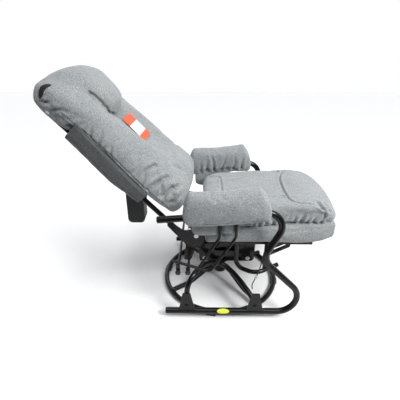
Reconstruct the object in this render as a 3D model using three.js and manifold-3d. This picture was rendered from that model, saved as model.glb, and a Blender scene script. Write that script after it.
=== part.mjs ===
// Glider nursery chair: a padded recliner on a steel-tube swivel glider base.
// Millimetres. +X is the way the chair faces, +Z is up, Y runs across the seat.
// Y < 0 is the sitter's right. The back is modelled at its fully reclined stop.
import * as THREE from 'three';
import { mergeVertices } from 'three/addons/utils/BufferGeometryUtils.js';
import Module from 'manifold-3d';

const wasm = await Module();
wasm.setup();

// ---------- driving dimensions ----------
const GAP = 0.3;                 // running gap between touching pieces
const MAIN_TUBE = 14.3;          // radius of the 1 1/8 inch frame tube
const RAIL_Y = 313;              // half the distance between the two side frames
const RAIL_Z = 41;               // centre height of the floor rails
const RING_RADIUS = 295;         // centre line of the floor ring
const RING_TUBE = 12.5;
const RING_Z = 15.5;
const SADDLE_X = [-168, 146];    // rear and front saddles on each rail
const LEG_Y = 305.5;             // arch legs, just inside the saddle plates
const ARCH_STEPS = 36;
const HUB_TOP = 196;             // top of the hub plate
const LINK_X = [-85, 125];       // rear and front glide links
const LINK_TOP = 335;            // upper glide pivots
const LINK_LENGTH = 120;
const TOWER_Y = 118;             // inner faces of towers, links and carriage plates
const LINK_Y = 126;
const CARRIAGE_Y = 135;
const SHAFT_RADIUS = 6;
const PAN_Z = 349.5;             // underside of the seat pan
const SEAT_Z = 360;              // underside of the padded seat box
const SEAT_HALF = 245;           // half the width of the seat
const PIVOT = [-125, 395];       // recline pivot, X and Z
const STRUT_END = [-165, 280];   // where the gas spring meets the back frame
const BACK_ORIGIN = [-150, 415]; // start of the back's own S (up) and T (front) axes
const RECLINE = THREE.MathUtils.degToRad(47);
const BACK_TUBE = 11;
const BACK_TUBE_Y = 205;
const BACK_TUBE_T = -44;
const BRACKET_Y = 221.5;         // inner face of the recline brackets on the pan
const BACK_PLATE_Y = 216.5;      // inner face of the plates on the back frame
const ARM_SLOPE = 0.0812;        // rise of the arm rail towards the front
const STAY_Y = 290;
const CROSS_ROD_Z = 250;         // stop rods behind the carriage
const CROSS_RODS = [['rear', -205, 286.5], ['front', -161, 271]]; // name, X, top of the lugs
const EYE_RADIUS = 20;           // upper eye of the gas spring, loose on the strut bar
const EYE_BORE = 14;
const GRIP_PIVOT = [-430, 513];  // pin of the hanging rear grip

// ---------- finishes ----------
const steel = { color: 0x0b0b0c, roughness: 0.28, metalness: 0.6 };
const zinc = { color: 0x9a9c9e, roughness: 0.35, metalness: 1.0 };
const fabric = { color: 0x7c8083, roughness: 0.95, metalness: 0.0 };
const darkFabric = { color: 0x55585c, roughness: 0.95, metalness: 0.0 };
const plastic = { color: 0x111112, roughness: 0.5, metalness: 0.0 };
const board = { color: 0x8c6f4a, roughness: 0.8, metalness: 0.0 };
const chrome = { color: 0xd8d8da, roughness: 0.12, metalness: 1.0 };

const chair = new THREE.Group();
const v3 = (x, y, z) => new THREE.Vector3(x, y, z);
const sides = [['right', -1], ['left', 1]];

function add(name, geometry, finish) {
  const mesh = new THREE.Mesh(geometry, new THREE.MeshStandardMaterial(finish));
  mesh.name = name;
  chair.add(mesh);
  return mesh;
}

// ---------- solid helpers ----------
function toManifold(geometry) {
  const plain = geometry.clone();
  plain.deleteAttribute('normal');
  plain.deleteAttribute('uv');
  const merged = mergeVertices(plain, 1e-3);
  return new wasm.Manifold(new wasm.Mesh({
    numProp: 3,
    vertProperties: Float32Array.from(merged.attributes.position.array),
    triVerts: Uint32Array.from(merged.index.array),
  }));
}

function fromManifold(solid) {
  const mesh = solid.getMesh();
  const geometry = new THREE.BufferGeometry();
  geometry.setAttribute('position', new THREE.BufferAttribute(mesh.vertProperties, 3));
  geometry.setIndex(new THREE.BufferAttribute(mesh.triVerts, 1));
  geometry.computeVertexNormals();
  return geometry;
}

function join(...geometries) {
  return fromManifold(geometries.map(toManifold).reduce((whole, piece) => whole.add(piece)));
}

function cut(geometry, ...tools) {
  return fromManifold(tools.map(toManifold).reduce((rest, tool) => rest.subtract(tool), toManifold(geometry)));
}

// A path given by points and the directions there, one extrusion step apart.
class KnotPath extends THREE.Curve {
  constructor(knots) {
    super();
    this.knots = knots;
  }
  getPoint(t) {
    const place = t * (this.knots.length - 1);
    const low = Math.min(Math.floor(place), this.knots.length - 2);
    return this.knots[low].point.clone().lerp(this.knots[low + 1].point, place - low);
  }
  getPointAt(t) {
    return this.getPoint(t);
  }
  getTangentAt(t) {
    return this.knots[Math.round(t * (this.knots.length - 1))].direction.clone();
  }
}

// Straight runs between the points, each corner rounded to its bend radius.
function bentPath(points, radii, stepDegrees = 15) {
  const ahead = (i) => points[i + 1].clone().sub(points[i]).normalize();
  const knots = [{ point: points[0], direction: ahead(0) }];
  for (let i = 1; i < points.length - 1; i++) {
    const before = ahead(i - 1);
    const after = ahead(i);
    const turn = before.angleTo(after);
    const radius = radii[i - 1];
    const enter = points[i].clone().addScaledVector(before, -radius * Math.tan(turn / 2));
    const inward = after.clone().addScaledVector(before, -after.dot(before)).normalize();
    const centre = enter.clone().addScaledVector(inward, radius);
    const steps = Math.max(2, Math.round(THREE.MathUtils.radToDeg(turn) / stepDegrees));
    for (let k = 0; k <= steps; k++) {
      const angle = turn * k / steps;
      knots.push({
        point: centre.clone().addScaledVector(inward, -radius * Math.cos(angle))
          .addScaledVector(before, radius * Math.sin(angle)),
        direction: before.clone().multiplyScalar(Math.cos(angle))
          .addScaledVector(inward, Math.sin(angle)),
      });
    }
  }
  const last = points.length - 1;
  knots.push({ point: points[last], direction: ahead(last - 1) });
  return new KnotPath(knots);
}

function circleShape(radius, count) {
  const shape = new THREE.Shape();
  for (let i = 0; i < count; i++) {
    const angle = 2 * Math.PI * (i + 0.5) / count;
    shape[i ? 'lineTo' : 'moveTo'](radius * Math.cos(angle), radius * Math.sin(angle));
  }
  return shape.closePath();
}

function sweep(path, radius, count = 12) {
  const steps = path.knots.length - 1;
  return new THREE.ExtrudeGeometry(circleShape(radius, count), { steps, extrudePath: path });
}

// Smooth curve through the points, for tubes with no straight runs.
function flowPath(points, steps) {
  const curve = new THREE.CatmullRomCurve3(points, false, 'centripetal');
  const knots = [];
  for (let i = 0; i <= steps; i++) {
    knots.push({ point: curve.getPointAt(i / steps), direction: curve.getTangentAt(i / steps) });
  }
  return new KnotPath(knots);
}

function hole(x, z, radius, count = 20) {
  const ring = new THREE.Path();
  const points = [];
  for (let i = 0; i < count; i++) {
    const angle = -2 * Math.PI * i / count;
    points.push(new THREE.Vector2(x + radius * Math.cos(angle), z + radius * Math.sin(angle)));
  }
  ring.setFromPoints(points);
  return ring;
}

// An outline in X and Z, extruded across Y from low to high.
function slab(outline, low, high, holes = []) {
  const points = outline.map(([x, z]) => new THREE.Vector2(x, z));
  if (THREE.ShapeUtils.isClockWise(points)) points.reverse();
  const shape = new THREE.Shape(points);
  shape.holes.push(...holes);
  const geometry = new THREE.ExtrudeGeometry(shape, {
    depth: high - low, bevelEnabled: false, steps: 1, curveSegments: 8,
  });
  return geometry.rotateX(Math.PI / 2).translate(0, high, 0);
}

// The same, on the right or left side, between two distances from the centre.
function sideSlab(side, outline, inner, thickness, holes = []) {
  const low = side > 0 ? inner : -inner - thickness;
  return slab(outline, low, low + thickness, holes);
}

function rodY(x, z, low, high, radius, count = 16) {
  return new THREE.CylinderGeometry(radius, radius, high - low, count)
    .translate(x, (low + high) / 2, z);
}

function cylinderZ(x, y, low, high, radius, count = 24) {
  return new THREE.CylinderGeometry(radius, radius, high - low, count)
    .rotateX(Math.PI / 2).translate(x, y, (low + high) / 2);
}

function boxAt(x0, x1, y0, y1, z0, z1) {
  return new THREE.BoxGeometry(x1 - x0, y1 - y0, z1 - z0)
    .translate((x0 + x1) / 2, (y0 + y1) / 2, (z0 + z1) / 2);
}

// Outline with every corner rounded, for plates and pads.
function rounded(points, radius, count = 4) {
  const flat = points.map(([x, z]) => new THREE.Vector2(x, z));
  const out = [];
  flat.forEach((corner, i) => {
    const before = flat[(i + flat.length - 1) % flat.length].clone().sub(corner);
    const after = flat[(i + 1) % flat.length].clone().sub(corner);
    const reach = Math.min(radius, before.length() * 0.45, after.length() * 0.45);
    const start = corner.clone().addScaledVector(before.normalize(), reach);
    const end = corner.clone().addScaledVector(after.normalize(), reach);
    const curve = new THREE.QuadraticBezierCurve(start, corner, end);
    curve.getPoints(count).forEach((p) => out.push([p.x, p.y]));
  });
  return out;
}

// ---------- floor base ----------
function addBase() {
  add('base_ring', new THREE.TorusGeometry(RING_RADIUS, RING_TUBE, 12, 64)
    .translate(0, 0, RING_Z), steel);
  const grip = new THREE.TorusGeometry(RING_RADIUS, RING_TUBE + GAP, 12, 64).translate(0, 0, RING_Z);
  for (let i = 0; i < 4; i++) {
    const turn = THREE.MathUtils.degToRad(80 + 90 * i);
    const block = boxAt(RING_RADIUS - 16, RING_RADIUS + 16, -20, 20, 0, 14).rotateZ(turn);
    add(`ring_glide_${i + 1}`, cut(block, grip), plastic);
  }
  // Tube spokes drop from the centre socket and lie on top of the ring.
  const onRing = RING_Z + 2 * RING_TUBE + GAP;
  const pieces = [cylinderZ(0, 0, 48, 104, 34)];
  for (let i = 0; i < 4; i++) {
    const turn = THREE.MathUtils.degToRad(35 + 90 * i);
    const out = (r, z) => v3(r * Math.cos(turn), r * Math.sin(turn), z);
    pieces.push(sweep(bentPath([out(10, 92), out(90, 84), out(200, onRing), out(RING_RADIUS, onRing)],
      [60, 120]), RING_TUBE, 10));
  }
  add('spoke_frame', join(...pieces), steel);
  add('swivel_bearing', cylinderZ(0, 0, 104 + GAP, 116, 44), zinc);
}

// ---------- side frames and hub ----------
const armRailZ = (x) => 557.5 + (x - 152) * ARM_SLOPE;

function addSideFrames() {
  add('hub_housing', cylinderZ(0, 0, 116 + GAP, 187, 46), steel);
  add('hub_plate', boxAt(-110, 150, -124, 124, HUB_TOP - 8, HUB_TOP), steel);
  for (const [name, side] of sides) {
    const y = side * RAIL_Y;
    const corners = [v3(-265, y, RAIL_Z), v3(453.5, y, RAIL_Z), v3(160.2, y, 334.3),
      v3(274, y, 567.4), v3(-279, y, armRailZ(-279))];
    add(`side_tube_${name}`, sweep(bentPath(corners, [85, 75, 70]), MAIN_TUBE), steel);
    SADDLE_X.forEach((x, i) => {
      const low = RAIL_Z + MAIN_TUBE + GAP;
      const outline = [[x - 39, low], [x + 39, low], [x + 36, low + 8], [x + 17, 150], [x - 17, 150],
        [x - 36, low + 8]];
      add(`saddle_${i ? 'front' : 'rear'}_${name}`, sideSlab(side, outline, LEG_Y + RING_TUBE + GAP, 5), steel);
    });
    const foot = RAIL_Z + MAIN_TUBE + GAP;
    const arch = [[-168, LEG_Y, foot], [-168, LEG_Y, 120], [-163, 303, 172], [-146, 285, 208],
      [-112, 240, 226], [-60, 176, 212], [0, 148, 186], [50, 178, 160], [95, 240, 138], [128, 288, 112],
      [144, 304, 84], [146, LEG_Y, foot]];
    const path = flowPath(arch.map(([x, d, z]) => v3(x, side * d, z)), ARCH_STEPS);
    // Both feet stand square on the rail.
    path.knots[0].direction = v3(0, 0, 1);
    path.knots[ARCH_STEPS].direction = v3(0, 0, -1);
    add(`arch_${name}`, sweep(path, RING_TUBE, 10), steel);
  }
}

// ---------- arms ----------
function addArms() {
  for (const [name, side] of sides) {
    // Cross-section of the pad: an upside-down channel that hugs the rail and its board.
    const half = 45;
    const tubeTop = MAIN_TUBE + GAP;
    const section = rounded([[-half, -24], [-half, 62], [-36, 84], [36, 84], [half, 62], [half, -24]], 14, 3);
    const channel = [[18, -24], [18, tubeTop], [31, tubeTop], [31, tubeTop + 11], [-31, tubeTop + 11],
      [-31, -24]];
    const shape = new THREE.Shape();
    section.concat(channel).forEach(([a, b], i) => shape[i ? 'lineTo' : 'moveTo'](a, b));
    const start = v3(-175, side * RAIL_Y, armRailZ(-175));
    const end = v3(171, side * RAIL_Y, armRailZ(171));
    const length = start.distanceTo(end);
    const frame = new THREE.Matrix4().makeBasis(
      v3(0, side, 0), v3(-ARM_SLOPE, 0, 1).normalize(), v3(side, 0, side * ARM_SLOPE).normalize());
    const place = (geometry) => geometry.applyMatrix4(frame)
      .translate(...(side > 0 ? start : end).toArray());
    const pad = new THREE.ExtrudeGeometry(shape, { depth: length - 22, bevelEnabled: false, steps: 1 });
    add(`arm_pad_${name}`, place(pad), fabric);
    const plate = new THREE.BoxGeometry(60, 10, 300).translate(0, tubeTop + 5.2, length / 2 - 11);
    add(`arm_board_${name}`, place(plate), board);
    const low = (x) => armRailZ(x) - 110 + (x + 140) * 0.03;
    const skirt = rounded([[-138, low(-138)], [58, low(58)], [58, armRailZ(58) - 27],
      [-142, armRailZ(-142) - 27]], 16);
    add(`arm_skirt_${name}`, sideSlab(side, skirt, 271, 8), fabric);
  }
}

// ---------- stay rods below the arms ----------
function addStays() {
  for (const [name, side] of sides) {
    const y = side * STAY_Y;
    const front = [v3(43, y, 540), v3(45, y, 426), v3(-62, y, 248), v3(-226, y, 305)];
    add(`stay_front_${name}`, sweep(bentPath(front, [45, 28]), 6.5, 10), steel);
    const rear = [v3(-23, y, 536), v3(-25, y, 424), v3(-108, y, 277)];
    add(`stay_rear_${name}`, sweep(bentPath(rear, [60]), 6.5, 10), steel);
  }
  for (const [name, x, top] of CROSS_RODS) {
    // Each cross rod hangs from the two slanted bars on short lugs.
    const rod = rodY(x, CROSS_ROD_Z, -STAY_Y - 6, STAY_Y + 6, 6, 10);
    const lugs = sides.map(([, side]) => boxAt(x - 9, x + 9, side * STAY_Y - 5, side * STAY_Y + 5,
      CROSS_ROD_Z - 12, top));
    add(`cross_rod_${name}`, join(rod, ...lugs), steel);
  }
}

// ---------- glide mechanism ----------
function addGlide() {
  const bottom = LINK_TOP - LINK_LENGTH;
  const clearance = SHAFT_RADIUS + GAP;
  for (const [name, side] of sides) {
    const foot = HUB_TOP + GAP;
    const tower = rounded([[-28, foot], [66, foot], [70, 242], [139, 316], [139, 347], [110, 347],
      [66, 292], [-26, 292], [-70, 347], [-99, 347], [-99, 316], [-32, 242]], 9, 2);
    add(`tower_${name}`, sideSlab(side, tower, TOWER_Y, 4, LINK_X.map((x) => hole(x, LINK_TOP, clearance, 16))),
      steel);
    LINK_X.forEach((x, i) => {
      const link = rounded([[x - 12, bottom - 12], [x + 12, bottom - 12], [x + 12, LINK_TOP + 11],
        [x - 12, LINK_TOP + 11]], 10, 3);
      const eyes = [bottom, LINK_TOP].map((z) => hole(x, z, clearance, 16));
      add(`glide_link_${i ? 'front' : 'rear'}_${name}`, sideSlab(side, link, LINK_Y, 5, eyes), zinc);
    });
    const plate = rounded([[-112, bottom - 13], [-62, bottom - 13], [-40, 228], [80, 228], [102, bottom - 13],
      [156, bottom - 13], [160, PAN_Z - GAP], [-116, PAN_Z - GAP]], 12, 2);
    const window = new THREE.Path(rounded([[-50, 326], [90, 326], [78, 258], [-38, 258]], 12, 3)
      .map(([x, z]) => new THREE.Vector2(x, z)));
    const eyes = LINK_X.map((x) => hole(x, bottom, clearance, 16));
    add(`carriage_plate_${name}`, sideSlab(side, plate, CARRIAGE_Y, 4, [window, ...eyes]), steel);
  }
  LINK_X.forEach((x, i) => {
    const place = i ? 'front' : 'rear';
    add(`upper_shaft_${place}`, rodY(x, LINK_TOP, -LINK_Y - 6, LINK_Y + 6, SHAFT_RADIUS), zinc);
    add(`lower_shaft_${place}`, rodY(x, bottom, -CARRIAGE_Y - 9, CARRIAGE_Y + 9, SHAFT_RADIUS), zinc);
  });
}

// ---------- seat ----------
function addSeat() {
  add('seat_pan', boxAt(-90, 400, -221, 221, PAN_Z, SEAT_Z - GAP), steel);
  const seatBox = rounded([[-90, SEAT_Z], [385, SEAT_Z + 4], [484, 401], [476, 474], [182, 449], [-90, 440]], 14);
  add('seat_box', slab(seatBox, -SEAT_HALF, SEAT_HALF), fabric);
  const cushion = [[-104, 444], [182, 452.5], [476, 478], [500, 486], [500, 512], [478, 538], [400, 553],
    [240, 550], [60, 538], [-70, 528], [-108, 512]];
  add('seat_cushion', slab(rounded(cushion, 20, 3), -SEAT_HALF - 3, SEAT_HALF + 3), fabric);
  for (const [name, side] of sides) {
    const bracket = rounded([[-20, 332], [-20, 356], [-96, 356], [-104, 410], [-142, 414], [-146, 378],
      [-112, 332]], 8, 2);
    const [px, pz] = PIVOT;
    add(`recline_bracket_${name}`, sideSlab(side, bracket, BRACKET_Y, 5, [hole(px, pz, SHAFT_RADIUS + GAP, 16)]),
      steel);
    // Front loop: a bent tube under the seat, held by a flat strap at its front.
    const y = side * 190;
    const loop = [v3(62, y, PAN_Z - 1), v3(62, y, 205), v3(150, side * 246, 205), v3(262, side * 186, 212)];
    const strap = boxAt(186, 212, side * 218 - 3, side * 218 + 3, 209, PAN_Z - 1);
    add(`front_loop_${name}`, join(sweep(bentPath(loop, [42, 70]), 10.5, 10), strap), steel);
  }
  add('recline_shaft', rodY(...PIVOT, -BRACKET_Y - 9, BRACKET_Y + 9, SHAFT_RADIUS), zinc);
}

// ---------- back ----------
const along = new THREE.Vector2(-Math.cos(RECLINE), Math.sin(RECLINE));
const front = new THREE.Vector2(Math.sin(RECLINE), Math.cos(RECLINE));
// A point on the back: S up the back, T out of its front face.
const backPoint = (s, t) => [BACK_ORIGIN[0] + s * along.x + t * front.x,
  BACK_ORIGIN[1] + s * along.y + t * front.y];

function backSlab(outline, half) {
  return slab(rounded(outline.map(([s, t]) => backPoint(s, t)), 22, 3), -half, half);
}

function addBack() {
  const tubeAt = (s, y, t = BACK_TUBE_T) => {
    const [x, z] = backPoint(s, t);
    return v3(x, y, z);
  };
  const loop = [tubeAt(42, -BACK_TUBE_Y), tubeAt(818, -BACK_TUBE_Y), tubeAt(818, BACK_TUBE_Y),
    tubeAt(42, BACK_TUBE_Y)];
  const upright = sweep(bentPath(loop, [70, 70]), BACK_TUBE, 10);
  const [cx, cz] = backPoint(246, BACK_TUBE_T);
  const crossBar = rodY(cx, cz, -BACK_TUBE_Y, BACK_TUBE_Y, 9, 10);
  // A lug on the cross bar carries the pin of the hanging grip.
  const [gx, gz] = GRIP_PIVOT;
  const lug = slab(rounded([[cx + 2, cz - 8], [cx - 10, cz + 4], [gx - 9, gz + 6], [gx + 4, gz - 9]], 4, 2), -4, 4);
  const pin = rodY(gx, gz, -30, 30, 5, 12);
  add('back_frame', join(upright, crossBar, lug, pin), steel);
  const [px, pz] = PIVOT;
  const [ex, ez] = STRUT_END;
  for (const [name, side] of sides) {
    const plate = rounded([backPoint(96, -32), backPoint(96, -56), backPoint(30, -60), [px - 46, pz - 50],
      [ex - 19, ez - 18], [ex + 15, ez - 18], [px + 14, pz - 20], [px + 12, pz + 14], backPoint(30, -22)],
    9, 2);
    const holes = [hole(px, pz, SHAFT_RADIUS + GAP, 16), hole(ex, ez, 8 + GAP, 16)];
    add(`back_plate_${name}`, sideSlab(side, plate, BACK_PLATE_Y, 4.5, holes), steel);
  }
  add('strut_bar', rodY(ex, ez, -BACK_PLATE_Y - 4, BACK_PLATE_Y + 4, 8), steel);
  add('back_cushion', backSlab([[118, -8], [126, 118], [196, 146], [330, 118], [560, 112], [700, 118],
    [800, 108], [852, 60], [846, 4], [800, -24], [240, -24]], 258), fabric);
  add('back_panel', backSlab([[262, -66], [262, -88], [640, -78], [760, -66], [760, -60], [262, -60]], 215),
    darkFabric);
}

// ---------- gas spring ----------
function addGasSpring() {
  const from = v3(LINK_X[1], 0, LINK_TOP - LINK_LENGTH);
  const to = v3(STRUT_END[0], 0, STRUT_END[1]);
  const reach = from.distanceTo(to);
  const tilt = Math.atan2(to.z - from.z, -(to.x - from.x));
  // Built along +X from the lower pivot, then turned to point at the strut bar.
  const aim = (geometry) => geometry.rotateY(Math.PI).rotateY(tilt).translate(from.x, from.y, from.z);
  const ring = (radius, bore, width) => slab(rounded([[-radius, -radius], [radius, -radius], [radius, radius],
    [-radius, radius]], radius * 0.6, 4), -width / 2, width / 2, [hole(0, 0, bore)]);
  const barrelProfile = [[0, 12], [11, 12], [11, 188], [5.4, 188], [5.4, 24], [0, 24]]
    .map(([r, a]) => new THREE.Vector2(r, a));
  const barrel = new THREE.LatheGeometry(barrelProfile, 16).rotateZ(-Math.PI / 2);
  add('gas_cylinder', aim(join(barrel, ring(13, SHAFT_RADIUS + GAP, 16))), steel);
  const rod = new THREE.CylinderGeometry(5, 5, reach + 1 - EYE_RADIUS - 40, 12).rotateZ(-Math.PI / 2)
    .translate((reach + 1 - EYE_RADIUS + 40) / 2, 0, 0);
  add('gas_rod', aim(join(rod, ring(EYE_RADIUS, EYE_BORE, 14).translate(reach, 0, 0))), chrome);
}

// ---------- hanging grip, lock handle and cable ----------
function addControls() {
  const [gx, gz] = GRIP_PIVOT;
  const body = slab(rounded([[gx - 42, gz + 17], [gx - 42, gz - 157], [gx + 42, gz - 157],
    [gx + 42, gz + 17]], 24, 4), -38, 38);
  const slotBox = boxAt(gx - 60, gx + 60, -5, 5, gz - 22, gz + 40);
  add('rear_grip', cut(body, slotBox, rodY(gx, gz, -30.5, 30.5, 5.3)), plastic);
  const handle = rounded([[206, 340], [206, 268], [222, 258], [318, 308], [312, 342]], 10, 2);
  const slot = new THREE.Path(rounded([[240, 284], [300, 315], [300, 328], [240, 298]], 5, 2)
    .map(([x, z]) => new THREE.Vector2(x, z)));
  add('lock_handle', slab(handle, -176, -166, [slot]), steel);
  const cable = [[170, -292, 356], [165, -290, 322], [161, -288, 282], [153, -287, 240], [139, -287, 200],
    [131, -287, 172], [133, -288, 150]].map(([x, y, z]) => v3(x, y, z));
  add('lock_cable', sweep(flowPath(cable, 18), 2.4, 8), plastic);
}

addBase();
addSideFrames();
addArms();
addStays();
addGlide();
addSeat();
addBack();
addGasSpring();
addControls();

// The origin is under the middle of the whole chair, on the floor.
const box = new THREE.Box3().setFromObject(chair);
chair.position.set(-(box.min.x + box.max.x) / 2, 0, -box.min.z);

export default chair;
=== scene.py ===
"""Glider nursery chair: the visible surfaces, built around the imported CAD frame.

+X is the way the chair faces, +Z is up, and Y < 0 is the sitter's right.
Shapes are written in millimetres from the middle of the floor ring, or from the back's own axes,
and at() and back_at() turn them into metres in the frame.
"""
import math
import random

import bmesh
import bpy
import numpy as np
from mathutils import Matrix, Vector
from mathutils.bvhtree import BVHTree


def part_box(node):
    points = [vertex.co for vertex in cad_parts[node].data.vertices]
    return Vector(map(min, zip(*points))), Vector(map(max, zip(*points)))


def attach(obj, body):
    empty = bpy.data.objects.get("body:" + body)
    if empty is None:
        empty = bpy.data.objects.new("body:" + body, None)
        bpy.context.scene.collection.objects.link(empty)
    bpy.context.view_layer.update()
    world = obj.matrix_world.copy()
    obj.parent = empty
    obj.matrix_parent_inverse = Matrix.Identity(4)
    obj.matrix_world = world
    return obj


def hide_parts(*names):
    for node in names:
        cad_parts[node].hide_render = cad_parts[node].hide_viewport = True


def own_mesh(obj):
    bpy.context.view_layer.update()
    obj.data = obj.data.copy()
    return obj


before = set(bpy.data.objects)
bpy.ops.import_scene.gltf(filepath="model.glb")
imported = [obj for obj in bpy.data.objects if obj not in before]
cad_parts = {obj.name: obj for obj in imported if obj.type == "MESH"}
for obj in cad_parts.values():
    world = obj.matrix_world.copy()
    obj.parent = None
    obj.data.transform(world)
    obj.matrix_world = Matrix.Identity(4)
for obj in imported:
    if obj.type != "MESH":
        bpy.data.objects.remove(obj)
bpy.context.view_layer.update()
RING_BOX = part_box("base_ring")
RING_X = (RING_BOX[0][0] + RING_BOX[1][0]) / 2
MM = 0.001
SIDES = (("right", -1), ("left", 1))
random.seed(11)

# ---------- driving dimensions, as in the CAD ----------
GAP = 0.3
MAIN_TUBE = 14.3
RAIL_Y = 313
RAIL_Z = 41
RING_RADIUS = 295
RING_TUBE = 12.5
RING_Z = 15.5
SADDLE_X = (-168, 146)
LEG_Y = 305.5
LINK_X = (-85, 125)
LINK_TOP = 335
LINK_BOTTOM = 215
SHAFT_RADIUS = 6
PAN_Z = 349.5
PIVOT = (-125, 395)
STRUT_END = (-165, 280)
BACK_ORIGIN = (-150, 415)
RECLINE = math.radians(47)
BACK_TUBE = 11
BACK_TUBE_Y = 205
BACK_TUBE_T = -44
ARM_SLOPE = 0.0812
STAY_Y = 290
STAY_TUBE = 6.5
GRIP_PIVOT = (-430, 513)

# ---------- camera ----------
CAMERA_LENS = 28.31
CAMERA_PLACE = (-93, -1428.7, 1135.1)
CAMERA_TILT = 64.9
CAMERA_TURN = 0.72

# ---------- light and colour ----------
SUN_STRENGTH = 3.2
SUN_SPREAD = math.radians(64)
FLOOR_WHITE = (0.9, 0.9, 0.9)
FABRIC_SHADE = 0.79
# Darkening of the rear panel fabric: painted shade over a somewhat darker cloth.
REAR_PAINTED_SHADE = 0.33


def at(x, y, z):
    """Millimetres from the middle of the floor ring, as a point in the frame."""
    return Vector((x * MM + RING_X, y * MM, z * MM))


def back_at(s, y, t):
    """Millimetres up the back, across it and out of its front, as a point in the frame."""
    x = BACK_ORIGIN[0] - s * math.cos(RECLINE) + t * math.sin(RECLINE)
    z = BACK_ORIGIN[1] + s * math.sin(RECLINE) + t * math.cos(RECLINE)
    return at(x, y, z)


OUT = (back_at(0, 0, 1) - back_at(0, 0, 0)).normalized()
UP = (back_at(1, 0, 0) - back_at(0, 0, 0)).normalized()
DOWN = Vector((0, 0, -1))


def arm_z(x):
    """Centre height of the arm rail."""
    return 557.5 + (x - 152) * ARM_SLOPE


def add_camera():
    camera = bpy.data.objects.new("camera", bpy.data.cameras.new("camera"))
    camera.data.lens = CAMERA_LENS
    camera.data.sensor_width = 36
    camera.location = at(*CAMERA_PLACE)
    camera.rotation_euler = (math.radians(CAMERA_TILT), 0, math.radians(CAMERA_TURN))
    bpy.context.collection.objects.link(camera)
    bpy.context.scene.camera = camera


# ---------- materials ----------
class Finish:
    """One node material, with short calls to add and link its nodes."""

    def __init__(self, name, **sockets):
        self.material = bpy.data.materials.new(name)
        self.material.use_nodes = True
        self.tree = self.material.node_tree
        self.shader = self.tree.nodes["Principled BSDF"]
        for socket, value in sockets.items():
            self.shader.inputs[socket.replace("_", " ")].default_value = value

    def node(self, kind, values=(), **settings):
        node = self.tree.nodes.new("ShaderNode" + kind)
        for key, value in settings.items():
            setattr(node, key, value)
        for socket, value in dict(values).items():
            if isinstance(value, bpy.types.NodeSocket):
                self.tree.links.new(value, node.inputs[socket])
            else:
                node.inputs[socket].default_value = value
        return node

    def place(self, turn=0.0, scale=(1, 1, 1)):
        """The piece's own coordinates, turned about Y."""
        source = self.node("TexCoord").outputs["Object"]
        mapping = self.node("Mapping", {"Vector": source, "Rotation": (0, turn, 0), "Scale": scale})
        return mapping.outputs["Vector"]

    def noise(self, vector, scale, detail=2.0, roughness=0.5):
        values = {"Vector": vector, "Scale": scale, "Detail": detail, "Roughness": roughness}
        return self.node("TexNoise", values).outputs["Fac"]

    def ramp(self, factor, *stops):
        node = self.node("ValToRGB", {"Fac": factor})
        elements = node.color_ramp.elements
        while len(elements) < len(stops):
            elements.new(0.5)
        for element, (position, colour) in zip(elements, stops):
            element.position = position
            element.color = colour if len(colour) == 4 else (*colour, 1)
        return node.outputs["Color"]

    def math(self, operation, first, second):
        return self.node("Math", {0: first, 1: second}, operation=operation).outputs[0]

    def mix(self, factor, first, second, blend="MIX"):
        node = self.node("Mix", {0: factor, 6: first, 7: second}, data_type="RGBA", blend_type=blend)
        return node.outputs[2]

    def stretch(self, factor, low, high):
        return self.node("MapRange", {"Value": factor, "To Min": low, "To Max": high}).outputs[0]

    def bump(self, height, strength, distance):
        values = {"Height": height, "Strength": strength, "Distance": distance}
        self.link("Normal", self.node("Bump", values).outputs["Normal"])

    def link(self, socket, output):
        self.tree.links.new(output, self.shader.inputs[socket])


def painted_steel():
    """Glossy black enamel with a little orange peel, dust and rubbed patches."""
    f = Finish("black_enamel", Specular_IOR_Level=0.12, Coat_Weight=0.26, Coat_Roughness=0.08)
    place = f.place()
    dust = f.noise(place, 14, 4, 0.6)
    colour = f.ramp(dust, (0.35, (0.003, 0.003, 0.004)), (0.8, (0.012, 0.009, 0.007)))
    f.link("Base Color", colour)
    f.link("Roughness", f.stretch(f.noise(place, 60, 3), 0.24, 0.42))
    f.bump(f.noise(place, 420, 2), 0.12, 0.0004)
    return f.material


def metal(name, colour, low, high, grain):
    """Bare or plated metal with fine directional scratches."""
    f = Finish(name, Metallic=1.0)
    place = f.place(scale=(1, 1, 6))
    f.link("Base Color", f.mix(f.noise(place, 30, 3), (*colour, 1), (*[c * 0.7 for c in colour], 1)))
    f.link("Roughness", f.stretch(f.noise(place, grain, 3), low, high))
    f.bump(f.noise(place, grain * 2, 2), 0.08, 0.0003)
    return f.material


def moulded_plastic():
    f = Finish("black_plastic", Specular_IOR_Level=0.4)
    place = f.place()
    patch = f.noise(place, 40, 3)
    f.link("Base Color", f.ramp(patch, (0.3, (0.009, 0.009, 0.01)), (0.8, (0.02, 0.02, 0.021))))
    f.link("Roughness", f.stretch(f.noise(place, 90, 2), 0.42, 0.6))
    f.bump(f.node("TexVoronoi", {"Vector": place, "Scale": 700.0}).outputs["Distance"], 0.2, 0.0003)
    return f.material


def plywood():
    f = Finish("plywood")
    grain = f.noise(f.place(scale=(1, 9, 9)), 14, 5, 0.6)
    f.link("Base Color", f.ramp(grain, (0.3, (0.25, 0.15, 0.07)), (0.7, (0.5, 0.34, 0.18))))
    f.link("Roughness", f.stretch(grain, 0.55, 0.8))
    f.bump(grain, 0.2, 0.0005)
    return f.material


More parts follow.
